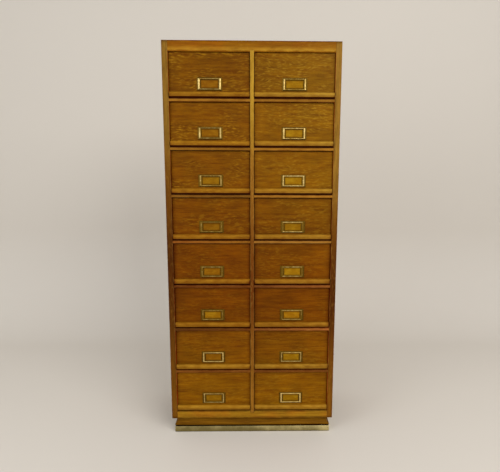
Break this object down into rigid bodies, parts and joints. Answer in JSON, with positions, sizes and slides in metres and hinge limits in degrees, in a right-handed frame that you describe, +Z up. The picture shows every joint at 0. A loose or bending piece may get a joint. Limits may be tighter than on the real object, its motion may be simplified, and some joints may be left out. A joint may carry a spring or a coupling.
{
  "type": "multi-drawer filing cabinet",
  "caption": "Tall oak filing cabinet with two columns of deep sliding drawers, each front with a moulded finger-grip nosing and a brass label holder, on a coved plinth with a brass band.",
  "frame": {"origin": "centre of the base on the floor, under the middle of the overall box", "axes": "+Z up along the height, +Y from the drawer fronts to the back, +X to the right seen from the front"},
  "size_m": [0.808, 0.425, 1.8895],
  "materials": {
    "oak_frame": "varnished oak, vertical grain on stiles, satin",
    "oak_boards": "varnished oak boards, satin, worn paler on the front edges",
    "oak_fronts": "quarter-sawn oak, warm brown varnish, satin",
    "oak_plinth": "dark stained oak moulding, satin",
    "brass_holders": "aged brass, rubbed bright on the high parts",
    "brass_band": "dull aged brass strip"
  },
  "bodies": {
    "cabinet": {"side_left_front_stile": "oak_frame", "side_left_rear_stile": "oak_frame", "side_left_top_rail": "oak_frame", "side_left_bottom_rail": "oak_frame", "side_left_panel": "oak_frame", "side_right_front_stile": "oak_frame", "side_right_rear_stile": "oak_frame", "side_right_top_rail": "oak_frame", "side_right_bottom_rail": "oak_frame", "side_right_panel": "oak_frame", "top_rail": "oak_frame", "bottom_rail": "oak_frame", "top_board": "oak_boards", "bottom_board": "oak_boards", "back_panel": "oak_boards", "centre_partition": "oak_boards", "shelf_1": "oak_boards", "shelf_2": "oak_boards", "shelf_3": "oak_boards", "shelf_4": "oak_boards", "shelf_5": "oak_boards", "shelf_6": "oak_boards", "shelf_7": "oak_boards", "plinth_front": "oak_plinth", "plinth_left": "oak_plinth", "plinth_right": "oak_plinth", "plinth_back": "oak_plinth", "brass_band": "brass_band"},
    "left_drawer_1": {"drawer_left_1": "oak_fronts", "label_holder_left_1": "brass_holders"},
    "left_drawer_2": {"drawer_left_2": "oak_fronts", "label_holder_left_2": "brass_holders"},
    "left_drawer_3": {"drawer_left_3": "oak_fronts", "label_holder_left_3": "brass_holders"},
    "left_drawer_4": {"drawer_left_4": "oak_fronts", "label_holder_left_4": "brass_holders"},
    "left_drawer_5": {"drawer_left_5": "oak_fronts", "label_holder_left_5": "brass_holders"},
    "left_drawer_6": {"drawer_left_6": "oak_fronts", "label_holder_left_6": "brass_holders"},
    "left_drawer_7": {"drawer_left_7": "oak_fronts", "label_holder_left_7": "brass_holders"},
    "left_drawer_8": {"drawer_left_8": "oak_fronts", "label_holder_left_8": "brass_holders"},
    "right_drawer_1": {"drawer_right_1": "oak_fronts", "label_holder_right_1": "brass_holders"},
    "right_drawer_2": {"drawer_right_2": "oak_fronts", "label_holder_right_2": "brass_holders"},
    "right_drawer_3": {"drawer_right_3": "oak_fronts", "label_holder_right_3": "brass_holders"},
    "right_drawer_4": {"drawer_right_4": "oak_fronts", "label_holder_right_4": "brass_holders"},
    "right_drawer_5": {"drawer_right_5": "oak_fronts", "label_holder_right_5": "brass_holders"},
    "right_drawer_6": {"drawer_right_6": "oak_fronts", "label_holder_right_6": "brass_holders"},
    "right_drawer_7": {"drawer_right_7": "oak_fronts", "label_holder_right_7": "brass_holders"},
    "right_drawer_8": {"drawer_right_8": "oak_fronts", "label_holder_right_8": "brass_holders"}
  },
  "joints": [
    {"name": "left_drawer_1_slide", "type": "slide", "parent": "cabinet", "child": "left_drawer_1", "axis": [0, -1, 0], "range_m": [0, 0.33]},
    {"name": "left_drawer_2_slide", "type": "slide", "parent": "cabinet", "child": "left_drawer_2", "axis": [0, -1, 0], "range_m": [0, 0.33]},
    {"name": "left_drawer_3_slide", "type": "slide", "parent": "cabinet", "child": "left_drawer_3", "axis": [0, -1, 0], "range_m": [0, 0.33]},
    {"name": "left_drawer_4_slide", "type": "slide", "parent": "cabinet", "child": "left_drawer_4", "axis": [0, -1, 0], "range_m": [0, 0.33]},
    {"name": "left_drawer_5_slide", "type": "slide", "parent": "cabinet", "child": "left_drawer_5", "axis": [0, -1, 0], "range_m": [0, 0.33]},
    {"name": "left_drawer_6_slide", "type": "slide", "parent": "cabinet", "child": "left_drawer_6", "axis": [0, -1, 0], "range_m": [0, 0.33]},
    {"name": "left_drawer_7_slide", "type": "slide", "parent": "cabinet", "child": "left_drawer_7", "axis": [0, -1, 0], "range_m": [0, 0.33]},
    {"name": "left_drawer_8_slide", "type": "slide", "parent": "cabinet", "child": "left_drawer_8", "axis": [0, -1, 0], "range_m": [0, 0.33]},
    {"name": "right_drawer_1_slide", "type": "slide", "parent": "cabinet", "child": "right_drawer_1", "axis": [0, -1, 0], "range_m": [0, 0.33]},
    {"name": "right_drawer_2_slide", "type": "slide", "parent": "cabinet", "child": "right_drawer_2", "axis": [0, -1, 0], "range_m": [0, 0.33]},
    {"name": "right_drawer_3_slide", "type": "slide", "parent": "cabinet", "child": "right_drawer_3", "axis": [0, -1, 0], "range_m": [0, 0.33]},
    {"name": "right_drawer_4_slide", "type": "slide", "parent": "cabinet", "child": "right_drawer_4", "axis": [0, -1, 0], "range_m": [0, 0.33]},
    {"name": "right_drawer_5_slide", "type": "slide", "parent": "cabinet", "child": "right_drawer_5", "axis": [0, -1, 0], "range_m": [0, 0.33]},
    {"name": "right_drawer_6_slide", "type": "slide", "parent": "cabinet", "child": "right_drawer_6", "axis": [0, -1, 0], "range_m": [0, 0.33]},
    {"name": "right_drawer_7_slide", "type": "slide", "parent": "cabinet", "child": "right_drawer_7", "axis": [0, -1, 0], "range_m": [0, 0.33]},
    {"name": "right_drawer_8_slide", "type": "slide", "parent": "cabinet", "child": "right_drawer_8", "axis": [0, -1, 0], "range_m": [0, 0.33]}
  ]
}
